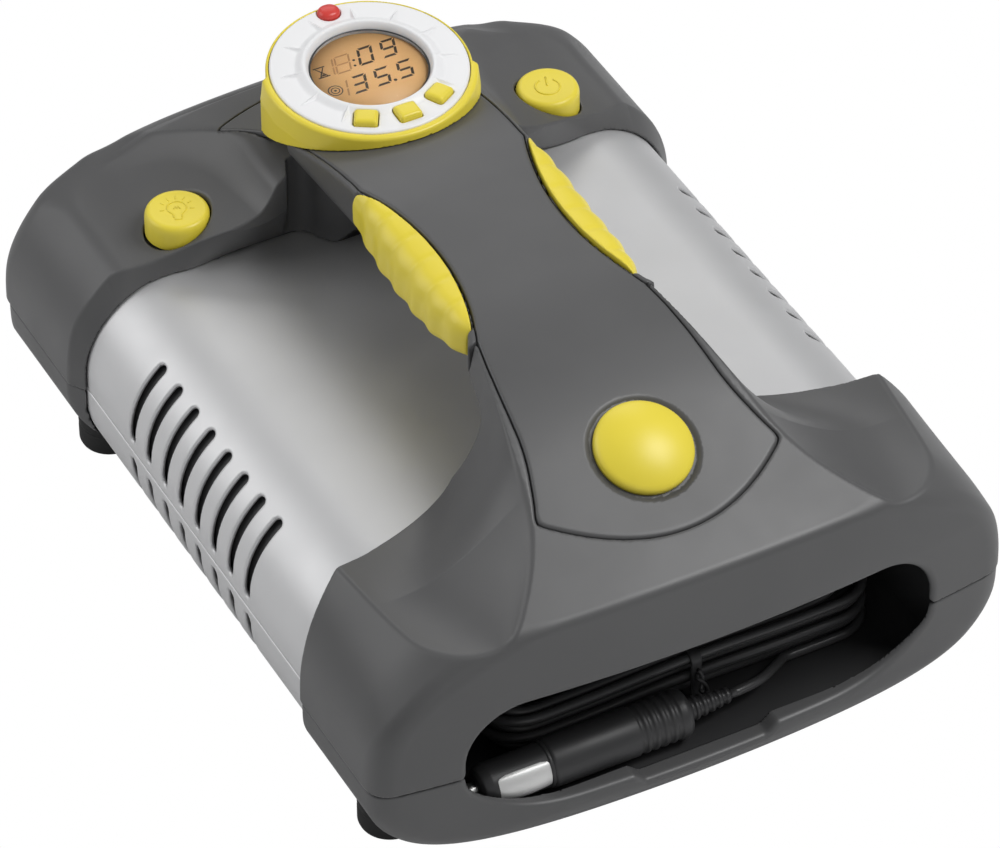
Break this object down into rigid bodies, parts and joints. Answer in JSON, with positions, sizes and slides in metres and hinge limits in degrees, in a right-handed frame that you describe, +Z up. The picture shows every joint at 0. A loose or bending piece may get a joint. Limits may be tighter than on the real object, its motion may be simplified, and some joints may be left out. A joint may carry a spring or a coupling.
{
  "type": "portable tire inflator",
  "caption": "Portable electric tire inflator with carrying handle, round pressure gauge, side vents and a front bay that stores its coiled 12 volt power lead and plug.",
  "frame": {"origin": "on the floor, under the centre of the housing", "axes": "+X to the right as seen from the bay side's operator looking to the gauge, +Y towards the gauge end, +Z up"},
  "size_m": [0.282, 0.364, 0.1822],
  "materials": {
    "grey_plastic": "satin grain",
    "silver_paint": "satin silver paint",
    "yellow_plastic": "satin",
    "black_plastic": "matte",
    "rubber": "matte",
    "bezel_silver": "satin silver paint",
    "amber_lens": "clear",
    "display_amber": "matte",
    "red_plastic": "satin",
    "alloy": "cast",
    "steel": "satin",
    "nylon": "matte",
    "board_green": "matte",
    "cord_black": "satin",
    "lamp_clear": "clear"
  },
  "bodies": {
    "housing": {"front_housing_upper": "grey_plastic", "front_housing_lower": "grey_plastic", "rear_housing_upper": "grey_plastic", "rear_housing_lower": "grey_plastic", "body_shell_upper": "silver_paint", "body_shell_lower": "silver_paint", "handle_frame": "grey_plastic", "handle_cover": "grey_plastic", "grip_left": "yellow_plastic", "grip_right": "yellow_plastic", "emblem_cap": "yellow_plastic", "gauge_ring": "yellow_plastic", "gauge_bezel": "bezel_silver", "display_lens": "amber_lens", "display_panel": "display_amber", "feet": "rubber", "storage_liner": "black_plastic", "cord_gland": "black_plastic", "cord_lead_in": "cord_black", "cord_hank": "cord_black", "cord_lead_out": "cord_black", "cord_tie": "black_plastic", "plug_strain_relief": "black_plastic", "plug_body": "black_plastic", "plug_contacts": "steel", "motor_can": "steel", "pump_frame": "alloy", "pump_cylinder": "alloy", "cylinder_head": "alloy", "air_outlet": "black_plastic", "circuit_board": "board_green", "work_lamp": "lamp_clear"},
    "light_button_body": {"light_button": "yellow_plastic"},
    "power_button_body": {"power_button": "yellow_plastic"},
    "mode_button_left_body": {"mode_button_left": "yellow_plastic"},
    "mode_button_middle_body": {"mode_button_middle": "yellow_plastic"},
    "mode_button_right_body": {"mode_button_right": "yellow_plastic"},
    "reset_button_body": {"reset_button": "red_plastic"},
    "plug_tip_body": {"plug_tip": "steel"},
    "motor_rotor_body": {"motor_rotor": "steel"},
    "crank_gear_body": {"crank_gear": "nylon"},
    "piston_rod_body": {"piston_rod": "alloy"}
  },
  "joints": [
    {"name": "light_button_press", "type": "slide", "parent": "housing", "child": "light_button_body", "axis": [0, 0, -1], "range_m": [0, 0.003], "stiffness_N_per_m": 600},
    {"name": "power_button_press", "type": "slide", "parent": "housing", "child": "power_button_body", "axis": [0, 0, -1], "range_m": [0, 0.003], "stiffness_N_per_m": 600},
    {"name": "mode_button_left_press", "type": "slide", "parent": "housing", "child": "mode_button_left_body", "axis": [0, 0, -1], "range_m": [0, 0.0008], "stiffness_N_per_m": 500},
    {"name": "mode_button_middle_press", "type": "slide", "parent": "housing", "child": "mode_button_middle_body", "axis": [0, 0, -1], "range_m": [0, 0.0008], "stiffness_N_per_m": 500},
    {"name": "mode_button_right_press", "type": "slide", "parent": "housing", "child": "mode_button_right_body", "axis": [0, 0, -1], "range_m": [0, 0.0008], "stiffness_N_per_m": 500},
    {"name": "reset_button_press", "type": "slide", "parent": "housing", "child": "reset_button_body", "axis": [0, 0, -1], "range_m": [0, 0.0008], "stiffness_N_per_m": 500},
    {"name": "plug_tip_press", "type": "slide", "parent": "housing", "child": "plug_tip_body", "axis": [1, 0, 0], "range_m": [0, 0.003], "stiffness_N_per_m": 600},
    {"name": "crank_spin", "type": "hinge", "parent": "housing", "child": "crank_gear_body", "pos_m": [-0.01, 0.0156, 0.062], "axis": [0, 1, 0], "continuous": true},
    {"name": "rotor_spin", "type": "hinge", "parent": "housing", "child": "motor_rotor_body", "pos_m": [-0.04, 0.0156, 0.062], "axis": [0, 1, 0], "continuous": true},
    {"name": "piston_slide", "type": "slide", "parent": "housing", "child": "piston_rod_body", "axis": [1, 0, 0], "range_m": [-0.018, 0]}
  ],
  "couplings": [
    {"joint": "rotor_spin", "follows": "crank_spin", "ratio": -3.6154}
  ]
}
